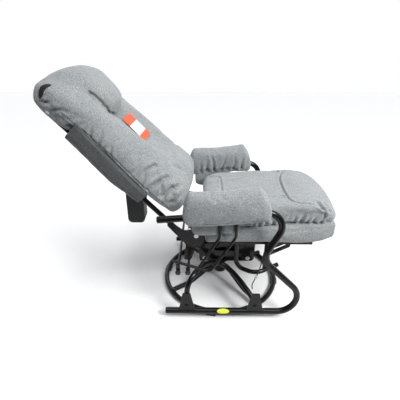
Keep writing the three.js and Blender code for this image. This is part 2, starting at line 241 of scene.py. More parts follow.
def woven(name, turn, shade=1.0):
    """Heather-grey woven upholstery: mixed yarn colours, a square weave and a soft nap."""
    f = Finish(name, Roughness=0.92, Specular_IOR_Level=0.2, Sheen_Weight=0.25, Sheen_Roughness=0.5)
    place = f.place(turn)
    dark, middle, light = [tuple(shade * c for c in colour) for colour in (
        (0.11, 0.12, 0.13), (0.31, 0.327, 0.332), (0.56, 0.58, 0.575))]
    yarn = f.ramp(f.noise(place, 520, 2, 0.7), (0.3, dark), (0.5, middle), (0.7, light))
    fleck = f.ramp(f.noise(place, 210, 3, 0.7), (0.32, (0.72, 0.73, 0.76)), (0.68, (1.22, 1.22, 1.19)))
    colour = f.mix(1.0, yarn, fleck, "MULTIPLY")
    patch = f.ramp(f.noise(place, 9, 3, 0.6), (0.3, (0.93, 0.94, 0.96)), (0.7, (1.04, 1.04, 1.03)))
    f.link("Base Color", f.mix(1.0, colour, patch, "MULTIPLY"))
    height = f.noise(place, 700, 2)
    for direction in "XYZ":
        wave = f.node("TexWave", {"Vector": place, "Scale": 190.0, "Distortion": 1.5, "Detail Scale": 3.0},
                      bands_direction=direction)
        height = f.math("ADD", height, wave.outputs["Fac"])
    f.bump(height, 0.35, 0.0006)
    return f.material


def plain(name, colour, roughness=0.6):
    """Printed or plain surface with a little unevenness."""
    f = Finish(name)
    place = f.place()
    grain = f.noise(place, 120, 3)
    f.link("Base Color", f.mix(grain, (*colour, 1), (*[c * 0.86 for c in colour], 1)))
    f.link("Roughness", f.stretch(grain, roughness - 0.08, roughness + 0.08))
    f.bump(f.noise(place, 300, 2), 0.05, 0.0003)
    return f.material


STEEL = painted_steel()
ZINC = metal("zinc_plate", (0.62, 0.62, 0.6), 0.28, 0.45, 150)
CHROME = metal("hard_chrome", (0.8, 0.8, 0.82), 0.06, 0.16, 200)
PLASTIC = moulded_plastic()
BOARD = plywood()
FABRIC_SEAT = woven("grey_weave_seat", math.radians(-4), FABRIC_SHADE)
FABRIC_BACK = woven("grey_weave_back", -RECLINE, FABRIC_SHADE)
# The rear panel's fabric is the same weave darkened: painted shade over a somewhat darker cloth.
FABRIC_REAR_PAINTED_SHADE = woven("grey_weave_rear_painted_shade", -RECLINE, REAR_PAINTED_SHADE * FABRIC_SHADE)
# Near-black sheet colour for the hood openings: painted shade for their insides.
OPENING_PAINTED_SHADE = plain("opening_painted_shade", (0.006, 0.006, 0.008), 0.85)
CARD_ORANGE = plain("card_orange", (0.7, 0.1, 0.03), 0.5)
CARD_WHITE = plain("card_white", (0.62, 0.63, 0.68), 0.5)
STICKER = plain("sticker_yellow", (0.62, 0.68, 0.04), 0.35)


# ---------- paths ----------
def bent_path(points, radii, step_degrees=4.0):
    """Straight runs between the points, each corner rounded to its bend radius, in metres."""
    points = [Vector(point) for point in points]
    path = [points[0]]
    for i in range(1, len(points) - 1):
        before = (points[i] - points[i - 1]).normalized()
        after = (points[i + 1] - points[i]).normalized()
        turn = before.angle(after)
        radius = radii[i - 1] * MM
        enter = points[i] - before * radius * math.tan(turn / 2)
        inward = (after - before * after.dot(before)).normalized()
        centre = enter + inward * radius
        steps = max(3, round(math.degrees(turn) / step_degrees))
        for k in range(steps + 1):
            angle = turn * k / steps
            path.append(centre - inward * radius * math.cos(angle) + before * radius * math.sin(angle))
    path.append(points[-1])
    return path


def flow_path(points, steps):
    """Smooth curve through the points, evenly stepped along its length."""
    points = [Vector(point) for point in points]
    ends = [2 * points[0] - points[1], *points, 2 * points[-1] - points[-2]]
    fine = []
    for i in range(1, len(ends) - 2):
        a, b, c, d = ends[i - 1:i + 3]
        times = [0.0]
        for first, second in ((a, b), (b, c), (c, d)):
            times.append(times[-1] + math.sqrt((second - first).length))
        t0, t1, t2, t3 = times
        for k in range(24):
            t = t1 + (t2 - t1) * k / 24
            ab = a.lerp(b, (t - t0) / (t1 - t0))
            bc = b.lerp(c, (t - t1) / (t2 - t1))
            cd = c.lerp(d, (t - t2) / (t3 - t2))
            abc = ab.lerp(bc, (t - t0) / (t2 - t0))
            bcd = bc.lerp(cd, (t - t1) / (t3 - t1))
            fine.append(abc.lerp(bcd, (t - t1) / (t2 - t1)))
    fine.append(points[-1])
    return evenly(fine, steps)


def evenly(path, steps):
    """The same path with evenly spaced points."""
    lengths = np.cumsum([0] + [(b - a).length for a, b in zip(path, path[1:])])
    wanted = np.linspace(0, lengths[-1], steps + 1)
    rows = np.array(path)
    return [Vector([np.interp(w, lengths, rows[:, axis]) for axis in range(3)]) for w in wanted]


# ---------- mesh building ----------
class Shape:
    """Collects closed shells of one piece."""

    def __init__(self):
        self.verts = []
        self.faces = []

    def rings(self, rings, closed=False):
        """Joins rings of equal count into a skin, and closes both ends unless it runs round."""
        base = len(self.verts)
        count = len(rings[0])
        for ring in rings:
            self.verts.extend(ring)
        total = len(rings)
        for i in range(total if closed else total - 1):
            low = base + i * count
            high = base + (i + 1) % total * count
            for k in range(count):
                after = (k + 1) % count
                self.faces.append((low + k, low + after, high + after, high + k))
        if not closed:
            self.faces.append(tuple(base + k for k in reversed(range(count))))
            self.faces.append(tuple(base + (total - 1) * count + k for k in range(count)))
        return self

    def tube(self, path, radius, sides=28, closed=False, edge=1.2):
        """A round bar along a path in metres, with its end edges rounded off."""
        radius *= MM
        edge *= MM
        total = len(path)
        tangents = []
        for i in range(total):
            before = path[i - 1] if closed or i else path[i]
            after = path[(i + 1) % total] if closed or i < total - 1 else path[i]
            tangents.append((after - before).normalized())
        normal = tangents[0].orthogonal().normalized()
        rings = []
        for point, tangent in zip(path, tangents):
            normal = (normal - tangent * normal.dot(tangent)).normalized()
            rings.append(self.circle(point, normal, tangent.cross(normal), radius, sides))
        if not closed:
            first, last = rings[0], rings[-1]
            rings[0] = [v + tangents[0] * edge for v in first]
            rings[-1] = [v - tangents[-1] * edge for v in last]
            rings.insert(0, [path[0] + (v - path[0]) * (1 - edge / radius) for v in first])
            rings.append([path[-1] + (v - path[-1]) * (1 - edge / radius) for v in last])
        return self.rings(rings, closed)

    @staticmethod
    def circle(centre, u, v, radius, sides):
        angles = [2 * math.pi * k / sides for k in range(sides)]
        return [centre + u * radius * math.cos(a) + v * radius * math.sin(a) for a in angles]

    def lathe(self, origin, axis, profile, sides=40):
        """Turned shape: profile is (radius, distance along axis) in millimetres, from end to end."""
        axis = Vector(axis).normalized()
        u = axis.orthogonal().normalized()
        v = axis.cross(u)
        rings = [self.circle(origin + axis * d * MM, u, v, max(r, 0.05) * MM, sides) for r, d in profile]
        return self.rings(rings)

    def rod(self, start, end, radius, sides=24, edge=0.8):
        length = (end - start).length / MM
        profile = [(radius - edge, 0), (radius, edge), (radius, length - edge), (radius - edge, length)]
        return self.lathe(start, end - start, profile, sides)

    def bolt(self, origin, axis, radius=7.0, height=4.5):
        """Round-edged hexagon head on a washer."""
        washer = [(radius * 1.35, 0), (radius * 1.45, 0.5), (radius * 1.4, 1.4), (radius, 1.5)]
        self.lathe(origin, axis, washer, 28)
        self.lathe(origin, axis, [(radius, 1.4), (radius, height - 0.8), (radius * 0.86, height)], 6)
        return self

    def button(self, origin, axis, radius=6.0, height=3.5):
        """Domed rivet head."""
        steps = [(radius * math.cos(a), height * math.sin(a)) for a in np.linspace(0, 1.5, 7)]
        return self.lathe(origin, axis, [(radius, 0), *steps], 24)

    def bead(self, path, radius=2.6):
        """Weld bead: a lumpy little tube."""
        points = evenly(path, 60)
        rings = []
        for i, point in enumerate(points):
            tangent = (points[min(i + 1, 60)] - points[max(i - 1, 0)]).normalized()
            u = tangent.orthogonal().normalized()
            swell = radius * MM * (0.82 + 0.18 * math.sin(i * 1.7))
            rings.append(self.circle(point, u, tangent.cross(u), swell, 8))
        return self.rings(rings)

    def collar(self, centre, axis, radius, thick=2.6):
        """Weld bead right round a joint."""
        axis = Vector(axis).normalized()
        u = axis.orthogonal().normalized()
        v = axis.cross(u)
        angles = [2 * math.pi * k / 48 for k in range(49)]
        path = [centre + (u * math.cos(a) + v * math.sin(a)) * radius * MM for a in angles]
        return self.bead(path, thick)

    def prism(self, outline, low, high, edge=0.8):
        """A flat plate: its outline in frame metres at Y = 0, between two Y values in millimetres."""
        middle = sum(outline, Vector()) / len(outline)
        levels = [(low, edge), (low + edge, 0), (high - edge, 0), (high, edge)]
        rings = []
        for y, inset in levels:
            ring = []
            for point in outline:
                inward = middle - point
                ring.append(point + inward.normalized() * inset * MM + Vector((0, y * MM, 0)))
            rings.append(ring)
        return self.rings(rings)

    def slab(self, rows, lift, thick):
        """A thin sheet over a grid of points: lift(point) points away from what it lies on."""
        base = len(self.verts)
        across = len(rows[0])
        count = across * len(rows)
        for height in (0, thick):
            self.verts.extend(p + lift(p) * height * MM for row in rows for p in row)
        for i in range(len(rows) - 1):
            for k in range(across - 1):
                corner = base + i * across + k
                square = (corner, corner + 1, corner + across + 1, corner + across)
                self.faces.append(tuple(reversed(square)))
                self.faces.append(tuple(c + count for c in square))
        rim = [base + k for k in range(across)]
        rim += [base + i * across + across - 1 for i in range(1, len(rows))]
        rim += [base + (len(rows) - 1) * across + k for k in reversed(range(across - 1))]
        rim += [base + i * across for i in reversed(range(1, len(rows) - 1))]
        for a, b in zip(rim, rim[1:] + rim[:1]):
            self.faces.append((a, b, b + count, a + count))
        return self

    def piece(self, name, material, body, replaces=(), slot=None):
        mesh = bpy.data.meshes.new(name)
        mesh.from_pydata([tuple(v) for v in self.verts], [], self.faces)
        mesh.validate()
        tidy = bmesh.new()
        tidy.from_mesh(mesh)
        bmesh.ops.recalc_face_normals(tidy, faces=tidy.faces)
        tidy.to_mesh(mesh)
        tidy.free()
        return as_piece(bpy.data.objects.new(name, mesh), material, body, replaces, slot)


def as_piece(piece, material, body, replaces=(), slot=None):
    """Links the piece, gives it its finish and body, and hides the CAD nodes it stands for."""
    if not piece.users_collection:
        bpy.context.collection.objects.link(piece)
    piece.data.materials.clear()
    piece.data.materials.append(material)
    piece.data.shade_smooth()
    if len(piece.data.polygons) < 20000:
        piece.data.set_sharp_from_angle(angle=math.radians(38))
    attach(piece, body)
    if replaces:
        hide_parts(*replaces)
    return piece


def steel(shape, name, body, replaces=()):
    return shape.piece(name, STEEL, body, replaces, "black_steel")


# ---------- floor base ----------
def add_base():
    turns = [2 * math.pi * k / 160 for k in range(160)]
    ring = [at(RING_RADIUS * math.cos(a), RING_RADIUS * math.sin(a), RING_Z) for a in turns]
    steel(Shape().tube(ring, RING_TUBE, 28, closed=True), "floor_ring_tube", "base", ["base_ring"])

    shape = Shape()
    shape.lathe(at(0, 0, 48), (0, 0, 1), [(30, 0), (33, 1), (34, 3), (34, 53), (33, 55), (30, 56)], 56)
    on_ring = RING_Z + 2 * RING_TUBE + GAP
    for i in range(4):
        turn = math.radians(35 + 90 * i)
        out = lambda r, z: at(r * math.cos(turn), r * math.sin(turn), z)
        route = [out(10, 92), out(90, 84), out(200, on_ring), out(RING_RADIUS, on_ring)]
        shape.tube(bent_path(route, [60, 120]), RING_TUBE)
        shape.collar(out(34, 89.6), (math.cos(turn), math.sin(turn), -0.1), RING_TUBE + 1)
        across = Vector((-math.sin(turn), math.cos(turn), 0))
        low = RING_Z + RING_TUBE + 1
        shape.bead([out(RING_RADIUS, low) + across * k * MM for k in (-14, -5, 5, 14)], 3)
    steel(shape, "spoke_set", "base", ["spoke_frame"])

    bearing = Shape()
    rim = [(30, 104.3), (43, 104.3), (44, 105), (44, 109.4), (42.4, 109.8), (42.4, 110.6), (44, 111),
           (44, 115.2), (43, 116), (30, 116)]
    bearing.lathe(at(0, 0, 0), (0, 0, 1), rim, 64)
    bearing.piece("swivel_bearing_race", ZINC, "base", ["swivel_bearing"], "zinc_steel")


# ---------- side frames and hub ----------
def side_tube_path(side):
    y = side * RAIL_Y
    corners = [at(-265, y, RAIL_Z), at(453.5, y, RAIL_Z), at(160.2, y, 334.3), at(274, y, 567.4),
               at(-279, y, arm_z(-279))]
    return bent_path(corners, [85, 75, 70], 2.5)


def arch_path(side):
    foot = RAIL_Z + MAIN_TUBE + GAP
    route = [(-168, LEG_Y, foot), (-168, LEG_Y, 120), (-163, 303, 172), (-146, 285, 208),
             (-112, 240, 226), (-60, 176, 212), (0, 148, 186), (50, 178, 160),
             (95, 240, 138), (128, 288, 112), (144, 304, 84), (146, LEG_Y, foot)]
    return flow_path([at(x, side * y, z) for x, y, z in route], 110)


def add_plug(name, end, inward, body, radius):
    """Moulded plug with a stepped dome in an open tube end."""
    shape = Shape()
    profile = [(radius - 2.2, 8), (radius - 2.2, 0.4), (radius - 0.2, 0.2), (radius - 0.3, -1.4),
               (radius - 2.2, -2.8), (radius * 0.45, -3.8), (1, -4)]
    shape.lathe(end, inward, profile, 32)
    shape.piece(name, PLASTIC, body, slot="moulded_plastic")


def add_side_frames():
    body = "swivel_frame"
    hub = [(20, 116.3), (44, 116.3), (46, 118), (46, 184), (45, 187), (20, 187)]
    shape = Shape().lathe(at(0, 0, 0), (0, 0, 1), hub, 64)
    shape.collar(at(0, 0, 187), (0, 0, 1), 46, 3)
    steel(shape, "hub_barrel", body, ["hub_housing"])
    for name, side in SIDES:
        path = side_tube_path(side)
        steel(Shape().tube(path, MAIN_TUBE, 36), f"side_rail_{name}", body, [f"side_tube_{name}"])
        add_plug(f"floor_plug_{name}", path[0], path[1] - path[0], body, MAIN_TUBE)
        add_plug(f"arm_plug_{name}", path[-1], path[-2] - path[-1], body, MAIN_TUBE)
        arch = Shape().tube(arch_path(side), RING_TUBE, 30)
        for x in SADDLE_X:
            arch.collar(at(x, side * LEG_Y, RAIL_Z + MAIN_TUBE + 1.5), (0, 0, 1), RING_TUBE + 0.8, 2.4)
        steel(arch, f"arch_tube_{name}", body, [f"arch_{name}"])
        add_saddle_trim(name, side)


def add_saddle_trim(name, side):
    """Bolts, washers and weld ends of the brackets that hold the arch on the floor rail."""
    face = side * (LEG_Y + RING_TUBE + GAP + 5)
    shape = Shape()
    for x in SADDLE_X:
        shape.bolt(at(x, face, 78), (0, side, 0), 7.5, 6)
        for end in (-1, 1):
            foot = at(x + end * 37, side * (RAIL_Y + 3), RAIL_Z + MAIN_TUBE - 1.5)
            shape.button(foot, (0, side * 0.4, 1), 6, 4.5)
        low = RAIL_Z + MAIN_TUBE
        shape.bead([at(x + k, face - side * 1.5, low) for k in (-36, -12, 12, 36)], 2.2)
    steel(shape, f"saddle_bolts_{name}", "swivel_frame")


# ---------- stay rods ----------
def add_stays():
    body = "swivel_frame"
    for name, side in SIDES:
        y = side * STAY_Y
        front = bent_path([at(43, y, 540), at(45, y, 426), at(-62, y, 248), at(-226, y, 305)], [45, 28])
        rear = bent_path([at(-23, y, 536), at(-25, y, 424), at(-108, y, 277)], [60])
        front_stay = Shape().tube(front, STAY_TUBE, 22)
        front_stay.button(at(1, y + side * (STAY_TUBE - 1), 343), (0, side, 0), 5.5, 3)
        steel(front_stay, f"front_stay_{name}", body, [f"stay_front_{name}"])
        rear_stay = Shape().tube(rear, STAY_TUBE, 22)
        rear_stay.bead([at(-108, y + k, 275) for k in (-6, 0, 6)], 3)
        steel(rear_stay, f"rear_stay_{name}", body, [f"stay_rear_{name}"])
    for place, x, top in (("rear", -205, 286.5), ("front", -161, 271)):
        rod = Shape().rod(at(x, -STAY_Y - 6, 250), at(x, STAY_Y + 6, 250), 6)
        knobs = Shape()
        for _, side in SIDES:
            lug = [at(x - 9, 0, 238), at(x + 9, 0, 238), at(x + 9, 0, top), at(x - 9, 0, top)]
            rod.prism(lug, side * STAY_Y - 5, side * STAY_Y + 5)
            out = at(x, side * (STAY_Y + 5.3), 250)
            knobs.lathe(out, (0, side, 0), [(8, 0), (11, 1), (12.5, 5), (11.5, 10), (7, 13), (2, 13.6)], 28)
        steel(rod, f"stop_rod_{place}", body, [f"cross_rod_{place}"])
        knobs.piece(f"stop_knobs_{place}", PLASTIC, body, slot="moulded_plastic")


# ---------- glide mechanism and seat metal ----------
AXLE_COLLAR = ((6, 0), (10.5, 0.2), (10.5, 1.6), (6, 1.8))
PIVOT_NUT = ((6, 0), (11, 0.3), (11, 3), (6, 3.2))


def add_glide():
    for place, x in zip(("rear", "front"), LINK_X):
        upper = Shape().rod(at(x, -132, LINK_TOP), at(x, 132, LINK_TOP), SHAFT_RADIUS)
        lower = Shape().rod(at(x, -144, LINK_BOTTOM), at(x, 144, LINK_BOTTOM), SHAFT_RADIUS)
        for _, side in SIDES:
            upper.lathe(at(x, side * 131.6, LINK_TOP), (0, side, 0), AXLE_COLLAR, 24)
            lower.lathe(at(x, side * 140, LINK_BOTTOM), (0, side, 0), AXLE_COLLAR, 24)
        upper.piece(f"upper_axle_{place}", ZINC, "swivel_frame", [f"upper_shaft_{place}"], "zinc_steel")
        lower.piece(f"lower_axle_{place}", ZINC, "carriage", [f"lower_shaft_{place}"], "zinc_steel")
    pivot = Shape().rod(at(PIVOT[0], -230.5, PIVOT[1]), at(PIVOT[0], 230.5, PIVOT[1]), SHAFT_RADIUS)
    for _, side in SIDES:
        pivot.lathe(at(PIVOT[0], side * 226.8, PIVOT[1]), (0, side, 0), PIVOT_NUT, 6)
    pivot.piece("recline_axle", ZINC, "carriage", ["recline_shaft"], "zinc_steel")
    bar = Shape().rod(at(STRUT_END[0], -220.5, STRUT_END[1]), at(STRUT_END[0], 220.5, STRUT_END[1]), 8)
    steel(bar, "lever_bar", "back", ["strut_bar"])


def add_front_loops():
    for name, side in SIDES:
        y = side * 190
        route = [at(62, y, PAN_Z - 1), at(62, y, 205), at(150, side * 246, 205), at(262, side * 186, 212)]
        path = bent_path(route, [42, 70])
        shape = Shape().tube(path, 10.5, 28)
        strap = [at(186, 0, 209), at(212, 0, 209), at(212, 0, PAN_Z - 1), at(186, 0, PAN_Z - 1)]
        shape.prism(strap, side * 218 - 3, side * 218 + 3, 0.6)
        shape.collar(at(62, y, PAN_Z - 2), (0, 0, 1), 11.5, 2.6)
        shape.bolt(at(199, side * 221, 330), (0, side, 0), 5.5, 4)
        steel(shape, f"front_hoop_{name}", "carriage", [f"front_loop_{name}"])
        add_plug(f"hoop_plug_{name}", path[-1], path[-2] - path[-1], "carriage", 10.5)


# ---------- back metal ----------
def add_back_metal():
    corners = [(42, -BACK_TUBE_Y), (818, -BACK_TUBE_Y), (818, BACK_TUBE_Y), (42, BACK_TUBE_Y)]
    path = bent_path([back_at(s, y, BACK_TUBE_T) for s, y in corners], [70, 70])
    shape = Shape().tube(path, BACK_TUBE, 28)
    bar = [back_at(246, y, BACK_TUBE_T) for y in (-BACK_TUBE_Y, BACK_TUBE_Y)]
    shape.rod(*bar, 9)
    for end in bar:
        inner = end * 0.945 + back_at(246, 0, BACK_TUBE_T) * 0.055
        shape.collar(inner, (0, 1, 0), 9.5, 2.4)
    hub = back_at(246, 0, BACK_TUBE_T)
    grip = at(GRIP_PIVOT[0], 0, GRIP_PIVOT[1])
    reach = (grip - hub).normalized()
    rise = Vector((-reach.z, 0, reach.x))
    lug = [hub + rise * 0.008, hub - rise * 0.008, grip - rise * 0.009 + reach * 0.009,
           grip + rise * 0.009 + reach * 0.009]
    shape.prism(lug, -4, 4)
    shape.rod(at(GRIP_PIVOT[0], -30, GRIP_PIVOT[1]), at(GRIP_PIVOT[0], 30, GRIP_PIVOT[1]), 5)
    steel(shape, "back_hoop", "back", ["back_frame"])
    trim = Shape()
    for _, side in SIDES:
        face = side * 221.2
        trim.bolt(back_at(62, 0, -48) + Vector((0, face * MM, 0)), (0, side, 0), 5.5, 4)
        trim.button(at(STRUT_END[0], face, STRUT_END[1]), (0, side, 0), 7, 3)
    steel(trim, "back_plate_bolts", "back")


# ---------- gas spring, grip, cable ----------
def add_gas_spring():
    start = at(LINK_X[1], 0, LINK_BOTTOM)
    end = at(STRUT_END[0], 0, STRUT_END[1])
    axis = (end - start).normalized()
    reach = (end - start).length / MM
    barrel = Shape()
    skin = [(4, 12), (9, 12), (11, 16), (11, 182), (10, 187), (5.6, 188)]
    barrel.lathe(start, axis, skin, 32)
    eye = [(6.4, 0), (12, 0), (13, 1), (13, 15), (12, 16), (6.4, 16)]
    barrel.lathe(start - Vector((0, 0.008, 0)), (0, 1, 0), eye, 32)
    steel(barrel, "gas_spring_barrel", "gas_cylinder", ["gas_cylinder"])
    rod = Shape().rod(start + axis * 0.04, start + axis * (reach - 19) * MM, 5)
    outer = [(14, 0), (19, 0), (20, 1), (20, 13), (19, 14), (14, 14), (14, 0.5)]
    rod.lathe(end - Vector((0, 0.007, 0)), (0, 1, 0), outer, 36)
    rod.piece("gas_spring_rod", CHROME, "gas_rod", ["gas_rod"], "chrome_rod")


def add_cable():
    route = [(170, -292, 356), (165, -290, 322), (161, -288, 282), (153, -287, 240), (139, -287, 200),
             (131, -287, 172), (133, -288, 150)]
    path = flow_path([at(*point) for point in route], 60)
    jacket = Shape().tube(path, 2.4, 14, edge=0.4)
    jacket.piece("brake_cable", PLASTIC, "swivel_frame", ["lock_cable"], "moulded_plastic")
    joint = Shape()
    axis = path[44] - path[40]
    joint.lathe(path[40], axis, [(2.6, -12), (4.2, -11), (4.6, 0), (4.2, 11), (2.6, 12)], 20)
    joint.bolt(path[40] + Vector((0, -0.004, 0)), (0, -1, 0.2), 3.2, 3)
    joint.piece("cable_joint", ZINC, "swivel_frame", slot="zinc_steel")


# ---------- soft forms ----------
def smooth_curve(*points):
    """A function through the (place, value) points, with no kinks."""
    xs, ys = (np.array(column, float) for column in zip(*points))
    slopes = np.gradient(ys, xs)

    def value(x):
        x = np.clip(x, xs[0], xs[-1])
        i = np.clip(np.searchsorted(xs, x, side="right") - 1, 0, len(xs) - 2)
        h = xs[i + 1] - xs[i]
        k = (x - xs[i]) / h
        return ((2 * k ** 3 - 3 * k ** 2 + 1) * ys[i] + (k ** 3 - 2 * k ** 2 + k) * h * slopes[i]
                + (3 * k ** 2 - 2 * k ** 3) * ys[i + 1] + (k ** 3 - k ** 2) * h * slopes[i + 1])
    return value


def smoothstep(low, high, x):
    k = np.clip((x - low) / (high - low), 0, 1)
    return k * k * (3 - 2 * k)


def loft(place, span, half_width, middle, front, rear, power=3.0, end_round=40.0, stations=70, sides=96,
         rear_power=None):
    """A closed padded form. Sections run along span; each is a rounded box, half_width(s) to each side,
    from front(s, v) to rear(s, v), where v is -1..1 across. It rounds off over end_round at both ends."""
    rear_power = rear_power or power
    shape = Shape()
    low, high = span
    rings = []
    for i in range(stations + 1):
        a = math.pi * i / stations
        s = low + (high - low) * (1 - math.cos(a)) / 2
        near = max(0.0, 1 - min(s - low, high - s) / end_round)
        close = max(0.03, math.sqrt(max(0.0, 1 - near ** 2)))
        ring = []
        for k in range(sides):
            turn = 2 * math.pi * (k + 0.5) / sides
            c, h = math.cos(turn), math.sin(turn)
            square = 2 / (power if h > 0 else rear_power)
            v = math.copysign(abs(c) ** square, c)
            lift = abs(h) ** square
            level = front(s, v) if h > 0 else rear(s, v)
            t = middle(s) + (level - middle(s)) * lift * close
            ring.append(place(s, v * half_width(s) * (0.8 + 0.2 * close), t))
        rings.append(ring)
    return shape.rings(rings)


def form(name, shape):
    """A loose object from a shape, with its normals outward."""
    mesh = bpy.data.meshes.new(name)
    mesh.from_pydata([tuple(v) for v in shape.verts], [], shape.faces)
    tidy = bmesh.new()
    tidy.from_mesh(mesh)
    bmesh.ops.recalc_face_normals(tidy, faces=tidy.faces)
    tidy.to_mesh(mesh)
    tidy.free()
    piece = bpy.data.objects.new(name, mesh)
    bpy.context.collection.objects.link(piece)
    return piece


def settled_mesh(piece):
    """The piece's mesh with its modifiers applied."""
    bpy.context.view_layer.update()
    graph = bpy.context.evaluated_depsgraph_get()
    return bpy.data.meshes.new_from_object(piece.evaluated_get(graph))


def apply_modifiers(piece):
    mesh = settled_mesh(piece)
    piece.modifiers.clear()
    piece.data = mesh


def points_of(mesh):
    flat = np.empty(len(mesh.vertices) * 3)
    mesh.vertices.foreach_get("co", flat)
    return flat.reshape(-1, 3)


def normals_of(mesh):
    flat = np.empty(len(mesh.vertices) * 3)
    mesh.vertex_normals.foreach_get("vector", flat)
    return flat.reshape(-1, 3)


def set_points(mesh, points):
    mesh.vertices.foreach_set("co", np.ascontiguousarray(points, dtype=np.float32).ravel())
    mesh.update()


def inflate(piece, cap, seams=(), voxel=5.5, pressure=4.0, slack=0.0):
    """Remeshes the form, swells it by cloth simulation held along its seams, and rounds it once."""
    remesh = piece.modifiers.new("remesh", "REMESH")
    remesh.mode = "VOXEL"
    remesh.voxel_size = voxel * MM
    apply_modifiers(piece)
    start = points_of(piece.data)
    held = np.full(len(start), 1e9)
    for seam in seams:
        held = np.minimum(held, distance_to_path(start, seam)[0])
    group = piece.vertex_groups.new(name="seams")
    group.add([int(i) for i in np.nonzero(held < voxel * 0.8 * MM)[0]], 1.0, "REPLACE")
    cloth = piece.modifiers.new("cloth", "CLOTH")
    cloth.settings.use_pressure = True
    cloth.settings.uniform_pressure_force = pressure
    cloth.settings.effector_weights.gravity = 0
    cloth.settings.vertex_group_mass = "seams"
    cloth.settings.quality = 4
    cloth.settings.shrink_min = -slack
    cloth.point_cache.frame_start = 1
    cloth.point_cache.frame_end = 20
    for step in range(1, 21):
        bpy.context.scene.frame_set(step)
    moved = points_of(settled_mesh(piece)) - start
    piece.modifiers.clear()
    piece.vertex_groups.clear()
    bpy.context.scene.frame_set(1)
    length = np.linalg.norm(moved, axis=1, keepdims=True)
    set_points(piece.data, start + moved * np.minimum(1, cap * MM / np.maximum(length, 1e-9)))
    piece.modifiers.new("round", "SUBSURF").levels = 1
    apply_modifiers(piece)


def distance_to_path(points, path):
    """Each point's distance to the polyline, and how far along it (0 to 1) its nearest place is."""
    path = np.array([tuple(p) for p in path])
    best = np.full(len(points), 1e9)
    where = np.zeros(len(points))
    total = len(path) - 1
    reach = 0.05
    low = path.min(axis=0) - reach
    high = path.max(axis=0) + reach
    close = np.nonzero(np.all((points > low) & (points < high), axis=1))[0]
    near = points[close]
    near_best = best[close]
    near_where = where[close]
    for i in range(total):
        a, d = path[i], path[i + 1] - path[i]
        k = np.clip((near - a) @ d / max(d @ d, 1e-12), 0, 1)
        gap = np.linalg.norm(near - (a + k[:, None] * d), axis=1)
        better = gap < near_best
        near_best[better] = gap[better]
        near_where[better] = ((i + k) / total)[better]
    best[close] = near_best
    where[close] = near_where
    return best, where


class Skin:
    """A padded piece's finished mesh, for pressing seams, creases and dents into it."""

    def __init__(self, piece):
        self.piece = piece
        self.points = points_of(piece.data)
        self.normals = normals_of(piece.data)
        self.offset = np.zeros(len(self.points))
        faces = [tuple(face.vertices) for face in piece.data.polygons]
        self.tree = BVHTree.FromPolygons([tuple(p) for p in self.points], faces)

    def project(self, start, direction):
        """The place where a line from start first meets the skin."""
        hit = self.tree.ray_cast(start, direction)[0]
        return hit if hit is not None else self.tree.find_nearest(start)[0]

    def drape(self, route, direction, steps=40):
        """The route, dropped onto the skin along direction, and evenly stepped."""
        points = evenly([Vector(p) for p in route], steps)
        return evenly([self.project(point, direction) for point in points], steps)

    def touch(self, route, side):
        """A smooth route of (s, y, t) places on the back, moved onto the skin."""
        points = flow_path([back_at(s, side * y, t) for s, y, t in route], 28)
        return [self.tree.find_nearest(p)[0] for p in points]

    def seam(self, path, depth=3.2, width=2.6, lip=1.0):
        """A sewn valley with the fabric standing up on both sides."""
        gap = distance_to_path(self.points, path)[0] / MM
        self.offset -= depth * MM * np.exp(-(gap / width) ** 2)
        self.offset += lip * MM * np.exp(-((gap - 2.3 * width) / (1.4 * width)) ** 2)

    def crease(self, path, depth=4.0, width=5.0, lip=0.45):
        """A soft fold that fades out at both ends."""
        gap, along = distance_to_path(self.points, path)
        gap = gap / MM
        fade = np.sin(np.pi * np.clip(along, 0.02, 0.98)) ** 0.7
        self.offset -= depth * MM * fade * np.exp(-(gap / width) ** 2)
        self.offset += lip * depth * MM * fade * np.exp(-((gap - 2.1 * width) / (1.2 * width)) ** 2)

    def gathers(self, path, side, spacing, length, depth=2.6, width=3.2, spread=0.35):
        """Short folds that run off a seam towards side, a direction or a function of place."""
        total = sum((b - a).length for a, b in zip(path, path[1:])) / MM
        count = max(2, round(total / spacing))
        steps = evenly(path, count)
        for i in range(1, count):
            away = (side(i / count) if callable(side) else Vector(side)).normalized()
            along = (steps[i] - steps[i - 1]).normalized()
            lean = random.uniform(-spread, spread)
            reach = length * random.uniform(0.5, 1.25)
            root = steps[i] + along * random.uniform(-0.3, 0.3) * spacing * MM
            tip = root + (away + along * lean).normalized() * reach * MM
            middle = root.lerp(tip, 0.5) + along * random.uniform(-0.1, 0.1) * reach * MM
            line = [self.tree.find_nearest(p)[0] for p in flow_path([root, middle, tip], 8)]
            gap, place = distance_to_path(self.points, line)
            gap = gap / MM
            fade = np.clip(1.05 - place, 0, 1) ** 0.8
            strength = depth * random.uniform(0.5, 1.2)
            broad = width * random.uniform(0.8, 1.4)
            self.offset -= strength * MM * fade * np.exp(-(gap / broad) ** 2)
            self.offset += 0.5 * strength * MM * fade * np.exp(-((gap - 2.2 * broad) / (1.3 * broad)) ** 2)

    def ripple(self, size, height, seed):
        """Gentle unevenness of the filling, the same at every run."""
        chance = np.random.default_rng(seed)
        total = np.zeros(len(self.points))
        for _ in range(14):
            direction = chance.normal(size=3)
            direction *= 2 * math.pi / (size * MM * chance.uniform(0.6, 1.8)) / np.linalg.norm(direction)
            total += np.sin(self.points @ direction + chance.uniform(0, 6.3))
        self.offset += total / 14 * height * 2 * MM

    def finish(self):
        set_points(self.piece.data, self.points + self.normals * self.offset[:, None])


